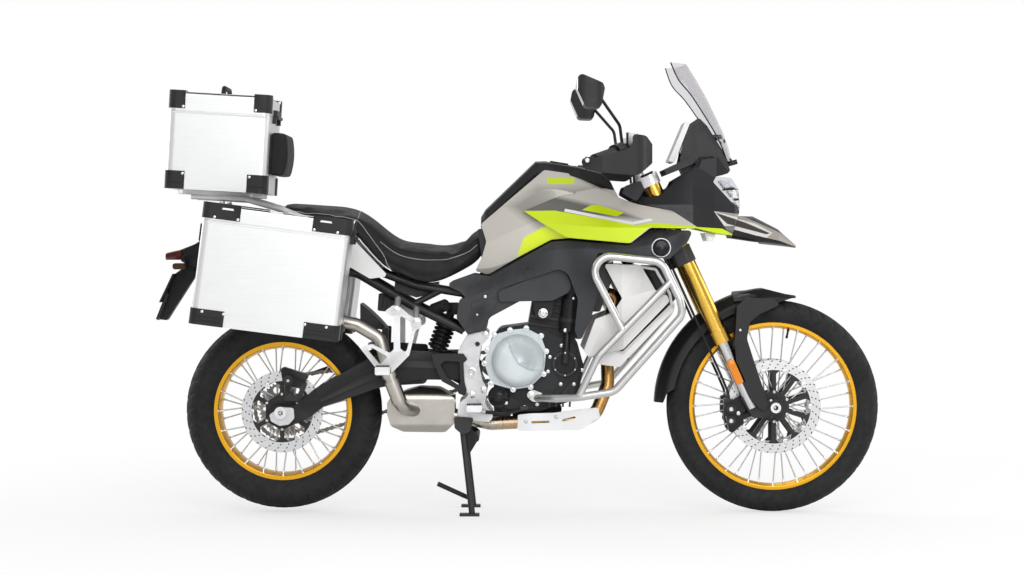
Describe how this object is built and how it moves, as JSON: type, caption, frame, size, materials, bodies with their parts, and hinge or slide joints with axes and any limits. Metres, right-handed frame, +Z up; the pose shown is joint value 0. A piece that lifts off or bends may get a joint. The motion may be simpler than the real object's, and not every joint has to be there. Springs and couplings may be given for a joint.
{
  "type": "adventure motorcycle",
  "caption": "Adventure motorcycle on its centre stand with spoked wheels, crash bars and hard luggage cases; steering, wheels, stands and case lids move.",
  "frame": {"origin": "on the floor under the middle of the bounding box", "axes": "+X forward, +Y to the rider's left, +Z up"},
  "size_m": [2.3599, 0.96, 1.462],
  "materials": {
    "tyre": "matte tread rubber",
    "gold_rim": "satin gold anodised",
    "hub_black": "satin black",
    "disc_steel": "turned steel",
    "gold_fork": "gold anodised, semi-gloss",
    "fork_steel": "polished",
    "silver_alloy": "satin cast",
    "black_metal": "satin black",
    "black_plastic": "grained",
    "dark_plastic": "fine-grained dark grey",
    "frame_black": "satin powder coat",
    "engine_black": "cast, dark grey",
    "radiator_black": "matte fins",
    "exhaust_bronze": "heat-tinted",
    "chain_steel": "oiled",
    "shock_black": "satin",
    "bar_steel": "brushed",
    "paint_silver": "metallic champagne silver",
    "lamp_lens": "clear lens",
    "screen_smoke": "smoke tint",
    "display_black": "dark screen",
    "seat_cover": "matte black with grey seams",
    "case_aluminium": "brushed"
  },
  "bodies": {
    "chassis": {"crash_bars": "bar_steel", "drive_chain": "chain_steel", "engine": "engine_black", "exhaust_pipes": "exhaust_bronze", "footrests": "silver_alloy", "frame": "frame_black", "frame_covers": "dark_plastic", "fuel_tank": "paint_silver", "instrument_display": "display_black", "lamps": "lamp_lens", "luggage_racks": "bar_steel", "nose_fairing": "black_plastic", "panniers": "case_aluminium", "radiator": "radiator_black", "radiator_shrouds": "paint_silver", "rear_shock": "shock_black", "seat": "seat_cover", "side_fairings": "paint_silver", "side_plates": "silver_alloy", "subframe": "frame_black", "swinging_arm": "frame_black", "tail_unit": "black_plastic", "tank_cover": "black_plastic", "top_case": "case_aluminium", "windscreen": "screen_smoke"},
    "steering": {"fork_tubes": "gold_fork", "fork_legs": "fork_steel", "triple_clamps": "silver_alloy", "handlebar": "black_metal", "hand_guards": "black_plastic", "mirrors": "black_plastic", "front_fender": "black_plastic", "front_calipers": "black_metal"},
    "front_wheel": {"front_tyre": "tyre", "front_rim": "gold_rim", "front_hub": "hub_black", "front_brake_discs": "disc_steel"},
    "rear_wheel": {"rear_tyre": "tyre", "rear_rim": "gold_rim", "rear_hub": "hub_black", "rear_brake_disc": "disc_steel"},
    "centre_stand": {"centre_stand": "frame_black"},
    "side_stand": {"side_stand": "frame_black"},
    "top_case_lid": {"top_case_lid": "case_aluminium"},
    "pannier_lid_left": {"pannier_lid_left": "case_aluminium"},
    "pannier_lid_right": {"pannier_lid_right": "case_aluminium"},
    "fuel_cap": {"fuel_cap": "black_metal"}
  },
  "joints": [
    {"name": "steering_turn", "type": "hinge", "parent": "chassis", "child": "steering", "pos_m": [0.7506, 0, 0.31018], "axis": [-0.4147, 0, 0.91], "range_deg": [-35, 35]},
    {"name": "front_wheel_spin", "type": "hinge", "parent": "steering", "child": "front_wheel", "pos_m": [0.8325, 0, 0.3475], "axis": [0, 1, 0], "continuous": true},
    {"name": "rear_wheel_spin", "type": "hinge", "parent": "chassis", "child": "rear_wheel", "pos_m": [-0.7675, 0, 0.333], "axis": [0, 1, 0], "continuous": true},
    {"name": "centre_stand_fold", "type": "hinge", "parent": "chassis", "child": "centre_stand", "pos_m": [-0.182, 0, 0.293], "axis": [0, 1, 0], "range_deg": [0, 85]},
    {"name": "side_stand_fold", "type": "hinge", "parent": "chassis", "child": "side_stand", "pos_m": [-0.06, 0.186, 0.305], "axis": [0, -0.9466, -0.3223], "range_deg": [0, 100]},
    {"name": "top_case_lid_hinge", "type": "hinge", "parent": "chassis", "child": "top_case_lid", "pos_m": [-0.78478, 0, 1.28962], "axis": [0, 1, 0], "range_deg": [0, 80]},
    {"name": "pannier_lid_left_hinge", "type": "hinge", "parent": "chassis", "child": "pannier_lid_left", "pos_m": [-0.51278, 0.358, 0.89765], "axis": [0, 1, 0], "range_deg": [0, 90]},
    {"name": "pannier_lid_right_hinge", "type": "hinge", "parent": "chassis", "child": "pannier_lid_right", "pos_m": [-0.51278, -0.358, 0.89765], "axis": [0, 1, 0], "range_deg": [0, 90]},
    {"name": "fuel_cap_hinge", "type": "hinge", "parent": "chassis", "child": "fuel_cap", "pos_m": [0.17488, 0, 1.13009], "axis": [0, 1, 0], "range_deg": [0, 100]}
  ]
}
